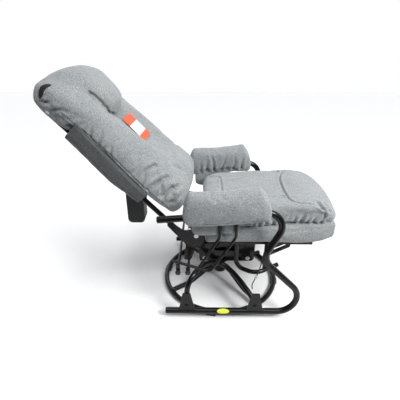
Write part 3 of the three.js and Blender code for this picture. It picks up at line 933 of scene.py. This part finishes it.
# ---------- back cushion ----------
BACK_SPAN = (92, 848)
BACK_CREST = smooth_curve((92, 92), (130, 134), (200, 146), (320, 132), (500, 118), (620, 112), (720, 104),
                          (780, 88), (820, 60), (848, 28))
BACK_CENTRE = smooth_curve((92, 112), (130, 156), (190, 168), (250, 150), (320, 106), (420, 78), (520, 64),
                           (600, 56), (740, 96), (800, 80), (848, 40))
BACK_REAR = smooth_curve((92, -8), (200, -20), (300, -30), (600, -34), (650, -54), (720, -62), (790, -60),
                         (825, -50), (848, -30))
BACK_MIDDLE = smooth_curve((92, 44), (250, 38), (600, 38), (760, 22), (848, 2))
BACK_HALF = smooth_curve((92, 232), (160, 244), (300, 246), (600, 243), (720, 246), (800, 236), (848, 208))
BACK_LEAN = 30
PILLOW_TIP = 575
CARD_HALF = 60
CARD_ENDS = (538, 407)
CARD_TILT = 0.07
# Places on the back cushion's near side as (s, y, t), mirrored for the other side.
HOOD_OUTER = ((784, 244, -16), (804, 238, 2), (814, 230, 20), (810, 222, 40), (792, 214, 56))
HOOD_INNER = ((784, 244, -16), (787, 244, 4), (790, 242, 20), (793, 232, 38), (792, 214, 56))
SIDE_FOLDS = (
    (((776, 240, -18), (766, 245, -8), (756, 246, 6)), 9.0, 6.0),
    (((735, 246, -30), (722, 248, 0), (700, 248, 24)), 7.0, 7.0),
    (((322, 249, 38), (330, 244, 66), (326, 232, 96), (306, 205, 130)), 11.0, 7.5),
    (((276, 253, 18), (266, 248, 60), (254, 228, 108), (240, 200, 140)), 13.0, 8.0),
    (((216, 252, 28), (206, 248, 70), (196, 232, 108), (180, 205, 140)), 13.0, 8.0),
    (((170, 250, 30), (158, 244, 66), (148, 226, 104)), 11.0, 7.5),
    (((286, 150, 140), (278, 100, 140), (276, 40, 140), (284, 0, 140)), 6.0, 9.0),
)

# Soft folds beside the lumbar roll and the pillow, as (s, y) places.
FRONT_FOLDS = (
    ((252, 150), (222, 128), (190, 122), 6.0, 9.0),
    ((700, 140), (660, 150), (600, 165), 5.0, 9.0),
    ((300, 108), (340, 100), (420, 96), 4.0, 14.0),
)


def pillow_edge(y):
    """How far up the back the lower seam of the head pillow lies, at a distance across."""
    return PILLOW_TIP + 25 * (y / 110) ** 2 + 80 * float(smoothstep(100, 150, abs(y)))


def back_front(s, v):
    """Height of the front face: side bolsters, a shallow channel, the lumbar roll and the head pillow."""
    y = abs(v) * BACK_HALF(s)
    side = BACK_CREST(s) + 2
    centre = BACK_CENTRE(s)
    level = centre + (side - centre) * smoothstep(45, 172, y)
    inside = s - pillow_edge(y)
    if inside > 0:
        rise = math.sqrt(max(0, 1 - (1 - min(inside / 62, 1)) ** 2))
        crown = 154 - 50 * float(smoothstep(740, 848, s)) - 30 * (y / 200) ** 2
        fade = 1 - float(smoothstep(125, 200, y))
        level += max(0, crown - level) * rise * fade
    return level


def back_section(s, y, t):
    """A point of the back cushion. Its lower end leans, so that the front clears the seat."""
    lean = BACK_LEAN * (t / 120) * (1 - float(smoothstep(BACK_SPAN[0], 220, s)))
    return back_at(s + lean, y, t)


def back_seam(skin, side, steps=40):
    """The sewn line along the cushion's side, in front of the rear panel."""
    line = [back_at(s, side * 330, BACK_MIDDLE(s) - 24) for s in (140, 300, 450, 600, 700)]
    return skin.drape(line, Vector((0, -side, 0)), steps)


def add_back_cushion():
    shape = loft(back_section, BACK_SPAN, BACK_HALF, BACK_MIDDLE, back_front, lambda s, v: BACK_REAR(s), 2.6,
                 50, 90, 120, 5.0)
    cushion = form("back_cushion_cover", shape)
    edge_line = [(y, pillow_edge(y) + 3) for y in np.linspace(-140, 140, 29)]
    raw = Skin(cushion)
    pillow = raw.drape([back_at(s, y, 320) for y, s in edge_line], -OUT)
    side_seams = [back_seam(raw, side) for _, side in SIDES]
    inflate(cushion, 16, [pillow, *side_seams], 6.5, 4.0)

    skin = Skin(cushion)
    pillow = skin.drape([back_at(s, y, 320) for y, s in edge_line], -OUT, 60)
    skin.seam(pillow, 9.0, 4.5, 1.6)
    for _, side in SIDES:
        add_back_side(skin, side)
    skin.ripple(120, 1.6, 3)
    skin.ripple(34, 0.5, 4)
    skin.finish()
    as_piece(cushion, FABRIC_BACK, "back", ["back_cushion"], "woven_fabric")
    return cushion


def add_back_side(skin, side):
    """The seam, gathers and folds of one side of the back cushion."""
    line = back_seam(skin, side, 60)
    skin.seam(line, 3.4, 2.8, 1.2)
    low = [p for p in line if (p - back_at(0, 0, 0)).dot(UP) < 0.36]
    skin.gathers(low, OUT + UP * 0.35, 46, 70, 4.0, 5.5, 0.5)
    high = [p for p in line if (p - back_at(0, 0, 0)).dot(UP) > 0.34]
    skin.gathers(high, OUT, 40, 60, 4.0, 6.0, 0.6)
    for *points, depth, width in FRONT_FOLDS:
        route = flow_path([back_at(s, side * y, 320) for s, y in points], 16)
        skin.crease(skin.drape(route, -OUT, 16), depth, width)
    hood = skin.drape([back_at(s, side * 330, -22) for s in (640, 700, 760)], Vector((0, -side, 0)), 30)
    skin.gathers(hood, OUT * 0.8 - UP * 0.3, 30, 60, 6.0, 6.5, 0.6)
    for route, depth, width in SIDE_FOLDS:
        skin.crease(skin.touch(route, side), depth, width)
    middle = [tuple((a + b) / 2 for a, b in zip(*pair)) for pair in zip(HOOD_OUTER, HOOD_INNER)]
    skin.crease(skin.touch(middle, side), 15.0, 9.0, 0.15)


def add_hood_openings(cushion):
    """The two crescent openings at the head end, with painted shade inside and hemmed round the edge."""
    skin = Skin(cushion)
    centre = back_at(700, 0, 20)
    for name, side in SIDES:
        lines = [skin.touch(edge, side) for edge in (HOOD_OUTER, HOOD_INNER)]
        add_opening(f"hood_opening_{name}", lines, centre)
        rim = Shape()
        for line in lines:
            rim.tube(flow_path([p + (p - centre).normalized() * 0.0006 for p in line[::4]], 50), 2.2, 10)
        rim.piece(f"hood_hem_{name}", FABRIC_BACK, "back", slot="woven_fabric")


def add_opening(name, lines, centre):
    """A near-black sheet between two edge lines, laid in the dent: painted shade for the inside of the
    opening.
    """
    rows = [[a.lerp(b, k / 8) for k in range(9)] for a, b in zip(*lines)]
    shape = Shape().slab(rows, lambda p: (p - centre).normalized(), 2.0)
    shape.piece(name, OPENING_PAINTED_SHADE, "back", slot="black_steel")


# ---------- rear panel ----------
def add_back_panel():
    """The fabric tray over the frame behind the cushion: a rear sheet with sides turned forward."""
    wall = 9
    half = smooth_curve((255, 251), (450, 251), (645, 249))
    depth = smooth_curve((255, -66), (400, -82), (520, -78), (645, -68))
    top = smooth_curve((255, 4), (645, 22))
    shape = Shape()
    rings = []
    for s in np.linspace(256, 640, 40):
        near, far = top(s), depth(s)
        # Each step of the section: place across, outer level and inner level.
        rim = [(1.0, near, near), (1.0, near - 12, near - 12), (0.99, far + 26, far + 26),
               (0.95, far + 7, far + 7 + wall), (0.88, far, far + wall), (0.4, far, far + wall)]
        section = [(-k, low, high) for k, low, high in rim] + rim[::-1]
        ring = [back_at(s, k * half(s), low) for k, low, _ in section]
        ring += [back_at(s, k * (half(s) - wall), high) for k, _, high in reversed(section)]
        rings.append(ring)
    panel = form("back_panel_cover", shape.rings(rings))
    inflate(panel, 6, (), 4.5, 2.0)
    skin = Skin(panel)
    for _, side in SIDES:
        inward = Vector((0, -side, 0))
        line = skin.drape([back_at(s, side * 330, top(s) - 9) for s in (270, 400, 520, 630)], inward, 40)
        skin.seam(line, 2.2, 2.2, 0.8)
    skin.ripple(70, 0.9, 8)
    skin.finish()
    # Its darker fabric is painted shade over a somewhat darker cloth.
    as_piece(panel, FABRIC_REAR_PAINTED_SHADE, "back", ["back_panel"], "rear_fabric")


# ---------- seat ----------
SEAT_SPAN = (-108, 502)
SEAT_TOP = smooth_curve((-108, 520), (-60, 534), (60, 543), (240, 553), (400, 556), (450, 546), (502, 508))
SEAT_LOW = smooth_curve((-108, 444), (0, 446), (182, 452), (390, 466), (450, 460), (502, 452))
SEAT_MIDDLE = smooth_curve((-108, 480), (200, 490), (400, 500), (502, 478))

SEAT_FOLDS = (
    ((-20, 116), (-60, 132), (-92, 150), 8),
    ((-14, -128), (-50, -150), (-90, -170), 8),
    ((292, 150), (300, 180), (296, 214), 5),
    ((318, 132), (338, 160), (350, 200), 5),
)


def add_seat_cushion():
    def top(s, v):
        crown = 8 * (1 - v * v)
        front = 6 * math.exp(-(((s - 370) / 80) ** 2 + (v / 0.75) ** 4))
        return SEAT_TOP(s) + crown + front

    half = smooth_curve((-108, 228), (-60, 236), (300, 240), (440, 238), (502, 212))
    shape = loft(at, SEAT_SPAN, half, SEAT_MIDDLE, top, lambda s, v: SEAT_LOW(s), 4.4, 40, 80, 120, 9.0)
    pad = form("seat_cushion_cover", shape)
    routes = {
        "rear": [(-14, -150), (-8, -60), (-8, 60), (-16, 118), (-44, 131), (-80, 160)],
        "left": [(-6, 56), (95, 76), (200, 113), (300, 148)],
        "right": [(-10, -120), (95, -140), (200, -150), (262, -152)],
        "oval": [(384, 243), (340, 170), (310, 120), (286, 50), (276, -40), (274, -120), (288, -190),
                 (330, -212), (372, -216), (424, -236)],
    }
    raw = Skin(pad)
    lines = [raw.drape([at(x, y, 700) for x, y in route], DOWN) for route in routes.values()]
    inflate(pad, 12, lines, 6.0, 4.0)
    skin = Skin(pad)
    for name, route in routes.items():
        smooth = flow_path([at(x, y, 700) for x, y in route], 60)
        skin.seam(skin.drape(smooth, DOWN, 60), 7.0 if name == "oval" else 5.5, 4.2, 1.6)
    for _, side in SIDES:
        inward = Vector((0, -side, 0))
        hem = skin.drape([at(x, side * 330, SEAT_LOW(x) + 8) for x in (-80, 60, 182, 330, 470)], inward, 60)
        skin.seam(hem, 3.0, 2.6, 1.2)
        skin.gathers(hem, Vector((0.15, 0, 1)), 29, 54, 8.0, 5.4, 0.75)
        corner = [((415, 212), (440, 224), (456, 240)), ((380, 206), (404, 222), (424, 240))]
        for fold in corner:
            skin.crease(skin.drape([at(x, side * y, 700) for x, y in fold], DOWN, 10), 8, 6)
    for *points, depth in SEAT_FOLDS:
        skin.crease(skin.drape([at(x, y, 700) for x, y in points], DOWN, 12), depth, 6)
    skin.ripple(110, 1.3, 21)
    skin.ripple(30, 0.45, 22)
    skin.finish()
    as_piece(pad, FABRIC_SEAT, "carriage", ["seat_cushion"], "woven_fabric")
    tuple(at(SEAT_SPAN[1], 0, 500))
    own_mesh(pad)


def add_seat_box():
    top = smooth_curve((-92, 440), (182, 450), (400, 470), (488, 478))
    low = smooth_curve((-92, 362), (200, 362), (380, 364), (430, 376), (488, 404))
    shape = loft(at, (-92, 490), lambda s: 242, lambda s: (top(s) + low(s)) / 2, lambda s, v: top(s),
                 lambda s, v: low(s), 9.0, 16, 70, 120)
    box = form("seat_box_cover", shape)
    inflate(box, 4, (), 6.0, 1.5)
    skin = Skin(box)
    for _, side in SIDES:
        inward = Vector((0, -side, 0))
        corner = skin.drape([at(467, side * 330, 472), at(464, side * 330, 396)], inward, 24)
        skin.seam(corner, 2.6, 2.2, 0.8)
        hem = skin.drape([at(x, side * 330, low(x) + 7) for x in (-84, 100, 300, 390, 440)], inward, 60)
        skin.seam(hem, 1.8, 1.8, 0.8)
    skin.ripple(90, 0.9, 31)
    skin.finish()
    as_piece(box, FABRIC_SEAT, "carriage", ["seat_box"], "woven_fabric")


# ---------- arm pads and skirts ----------
def add_arm_pad(name, side):
    half = smooth_curve((-176, 41), (-120, 45), (120, 46), (176, 42))

    def place(s, y, t):
        """The front end slopes back towards its top, as the rail bends down inside it."""
        return at(s - 0.28 * (t - 10) * float(smoothstep(90, 172, s)), side * RAIL_Y + y, arm_z(s) + t)

    def low(s, v):
        return -26 - 18 * float(smoothstep(0, 0.9, -v * side))

    pad = form(f"arm_pad_cover_{name}", loft(
        place, (-176, 176), half, lambda s: 26, lambda s, v: 112 - 24 * v * v, low, 3.6, 30, 60, 72, 5.0))
    inflate(pad, 7, (), 5.0, 4.0)
    skin = Skin(pad)
    for face in (-1, 1):
        line = [at(x, side * RAIL_Y + face * 120, arm_z(x) - 14) for x in (-160, 0, 156)]
        hem = skin.drape(line, Vector((0, -face, 0)), 40)
        skin.seam(hem, 2.2, 2.4, 0.9)
        spacing, length, depth = (42, 80, 8.0) if face == -side else (50, 24, 1.0)
        skin.gathers(hem, -DOWN, spacing, length, depth, 6, 0.4)
    for x, out in ((-176, -1), (172, 1)):
        centre = at(x + out * 60, side * RAIL_Y, arm_z(x) + 30)
        angles = np.linspace(0.4, 2.75, 20)
        ring = [centre + Vector((0, 38 * math.cos(a), 44 * math.sin(a))) * MM for a in angles]
        skin.seam(skin.drape(ring, Vector((-out, 0, 0)), 30), 1.6, 2.2, 0.8)
    skin.ripple(60, 1.0, 41 + side)
    skin.ripple(24, 0.35, 45 + side)
    skin.finish()
    as_piece(pad, FABRIC_SEAT, "swivel_frame", [f"arm_pad_{name}"], "woven_fabric")


def add_arm_skirt(name, side):
    """The side cover under the arm, drawn in where the two stays pass it."""
    stays = (-23, 44)
    low = smooth_curve((-142, 446), (-120, 436), (-60, 434), (-26, 437), (0, 441), (44, 446), (60, 447))

    def puff(s):
        return 14 * (1 - sum(math.exp(-((s - x) / 13) ** 2) for x in stays))

    shape = loft(lambda s, h, t: at(s, side * (275 + t), (arm_z(s) - 14 + low(s)) / 2 + h), (-142, 62),
                 lambda s: (arm_z(s) - 14 - low(s)) / 2, lambda s: 0, lambda s, v: max(2, puff(s)),
                 lambda s, v: -4, 7.0, 12, 60, 60)
    skirt = form(f"arm_skirt_cover_{name}", shape)
    inflate(skirt, 3, (), 4.0, 1.5)
    skin = Skin(skirt)
    inward = Vector((0, -side, 0))
    for x in stays:
        skin.seam(skin.drape([at(x, side * 330, z) for z in (500, 470, 444)], inward, 20), 2.0, 3.0, 0.8)
    hem = skin.drape([at(x, side * 330, low(x) + 8) for x in (-132, -60, 0, 54)], inward, 30)
    skin.seam(hem, 1.4, 1.8, 0.6)
    skin.ripple(60, 0.9, 51 + side)
    skin.finish()
    as_piece(skirt, FABRIC_SEAT, "swivel_frame", [f"arm_skirt_{name}"], "woven_fabric")


# ---------- small trim ----------
def add_sticker():
    """A plain oval sticker wrapped on the right floor rail."""
    shape = Shape()
    rings = []
    for size, lift in ((1.0, 0.1), (1.0, 0.4), (0.97, 0.6), (0.7, 0.6), (0.35, 0.6), (0.02, 0.6)):
        out = MAIN_TUBE + lift
        ring = []
        for k in range(48):
            a = 2 * math.pi * k / 48
            wrap = math.radians(30) + size * 13.0 * math.sin(a) / MAIN_TUBE
            y, z = -RAIL_Y - out * math.cos(wrap), RAIL_Z + out * math.sin(wrap)
            ring.append(at(size * 28 * math.cos(a), y, z))
        rings.append(ring)
    shape.rings(rings).piece("rail_sticker", STICKER, "swivel_frame")


def add_label(cushion):
    """A plain white thread label on the near side of the head end."""
    skin = Skin(cushion)
    side = Vector((0, -1, 0))
    rows = [[skin.project(back_at(s, -330, t), -side) for t in (-40, -35, -30)] for s in (732, 739, 746)]
    Shape().slab(rows, lambda p: side, 1.2).piece("thread_label", CARD_WHITE, "back")


def add_card(cushion):
    """A plain stiff hang card lying across the channel: three blocks of colour and no print."""
    skin = Skin(cushion)
    under = 0
    for s in np.linspace(CARD_ENDS[1], CARD_ENDS[0], 14):
        for y in np.linspace(-CARD_HALF, CARD_HALF, 12):
            height = (skin.project(back_at(s, y, 320), -OUT) - back_at(s, y, 0)).dot(OUT) / MM
            under = max(under, height - CARD_TILT * y)
    blocks = (("top", CARD_ENDS[0], 497, CARD_ORANGE), ("middle", 496.5, 438, CARD_WHITE),
              ("end", 437.5, CARD_ENDS[1], CARD_ORANGE))
    for name, high, low, material in blocks:
        rows = [[back_at(s, y, under + 0.6 + CARD_TILT * y) for y in np.linspace(-CARD_HALF, CARD_HALF, 8)]
                for s in np.linspace(high, low, 6)]
        Shape().slab(rows, lambda p: OUT, 0.8).piece(f"hang_card_{name}", material, "back")


# ---------- CAD nodes that stay ----------
def finish_cad_nodes():
    """Gives the plates and boards that keep their CAD shape an edge radius and a finish."""
    kept = {
        "ring_glide_": PLASTIC, "hub_plate": STEEL, "saddle_": STEEL, "arm_board_": BOARD, "tower_": STEEL,
        "glide_link_": ZINC, "carriage_plate_": STEEL, "seat_pan": STEEL, "recline_bracket_": STEEL,
        "back_plate_": STEEL, "rear_grip": PLASTIC, "lock_handle": STEEL,
    }
    for name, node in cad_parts.items():
        for start, material in kept.items():
            if name.startswith(start):
                node.data.materials.clear()
                node.data.materials.append(material)
                bevel = node.modifiers.new("edge", "BEVEL")
                bevel.width = 4 * MM if name == "rear_grip" else 0.9 * MM
                bevel.segments = 3
                bevel.limit_method = "ANGLE"
                bevel.angle_limit = math.radians(35)


# ---------- stage ----------
def add_stage():
    """A white floor that ends just behind the camera, so that what faces the camera is lit softly."""
    low, high = at(-7000, -1000, -12), at(7000, 9000, 0)
    corners = ((low.x, low.y), (high.x, low.y), (high.x, high.y), (low.x, high.y))
    rings = [[Vector((x, y, z)) for x, y in corners] for z in (low.z, high.z)]
    floor = form("studio_floor", Shape().rings(rings))
    floor.data.materials.append(plain("studio_floor", FLOOR_WHITE, 0.7))
    add_sky()
    add_sun()
    add_light("key", (1500, -1500, 2000), (-60, 0, 500), 700, 60)
    add_light("rim", (-700, 2300, 2000), (0, 0, 500), 1200, 14)


def add_sun():
    """A very soft overhead key that lights the whole floor evenly."""
    light = bpy.data.lights.new("key", "SUN")
    light.energy = SUN_STRENGTH
    light.angle = SUN_SPREAD
    lamp = bpy.data.objects.new("key", light)
    lamp.rotation_euler = Vector((-0.3, 0.25, -1)).to_track_quat("-Z", "Y").to_euler()
    bpy.context.collection.objects.link(lamp)


def add_sky():
    """White studio walls up to the horizon, a dimmer ceiling, and a dim room behind the camera."""
    world = bpy.data.worlds.new("studio")
    world.use_nodes = True
    tree = world.node_tree
    direction = tree.nodes.new("ShaderNodeSeparateXYZ")
    tree.links.new(tree.nodes.new("ShaderNodeTexCoord").outputs["Generated"], direction.inputs[0])
    product = tree.nodes.new("ShaderNodeMix")
    product.data_type = "RGBA"
    product.blend_type = "MULTIPLY"
    product.inputs[0].default_value = 1
    stops = {"Z": ((0.16, (1, 1, 1, 1)), (0.34, (0.42, 0.43, 0.46, 1))),
             "Y": ((-0.1, (0.07, 0.075, 0.09, 1)), (0.12, (1, 1, 1, 1)))}
    for number, (axis, ends) in enumerate(stops.items()):
        ramp = tree.nodes.new("ShaderNodeValToRGB")
        shift = tree.nodes.new("ShaderNodeMapRange")
        shift.inputs["From Min"].default_value = ends[0][0]
        shift.inputs["From Max"].default_value = ends[1][0]
        for element, (_, colour) in zip(ramp.color_ramp.elements, ends):
            element.color = colour
        tree.links.new(direction.outputs[axis], shift.inputs["Value"])
        tree.links.new(shift.outputs[0], ramp.inputs[0])
        tree.links.new(ramp.outputs[0], product.inputs[6 + number])
    tree.links.new(product.outputs[2], tree.nodes["Background"].inputs["Color"])
    bpy.context.scene.world = world
    bpy.context.scene.view_settings.view_transform = "Standard"


def add_light(name, place, target, size, power):
    light = bpy.data.lights.new(name, "AREA")
    light.size = size * MM
    light.energy = power
    lamp = bpy.data.objects.new(name, light)
    lamp.location = at(*place)
    lamp.rotation_euler = (at(*target) - at(*place)).to_track_quat("-Z", "Y").to_euler()
    bpy.context.collection.objects.link(lamp)


add_camera()
add_stage()
finish_cad_nodes()
add_base()
add_side_frames()
add_stays()
add_glide()
add_front_loops()
add_back_metal()
add_gas_spring()
add_cable()
back = add_back_cushion()
add_hood_openings(back)
add_back_panel()
add_seat_cushion()
add_seat_box()
for side_name, side_sign in SIDES:
    add_arm_pad(side_name, side_sign)
    add_arm_skirt(side_name, side_sign)
add_sticker()
add_card(back)
add_label(back)
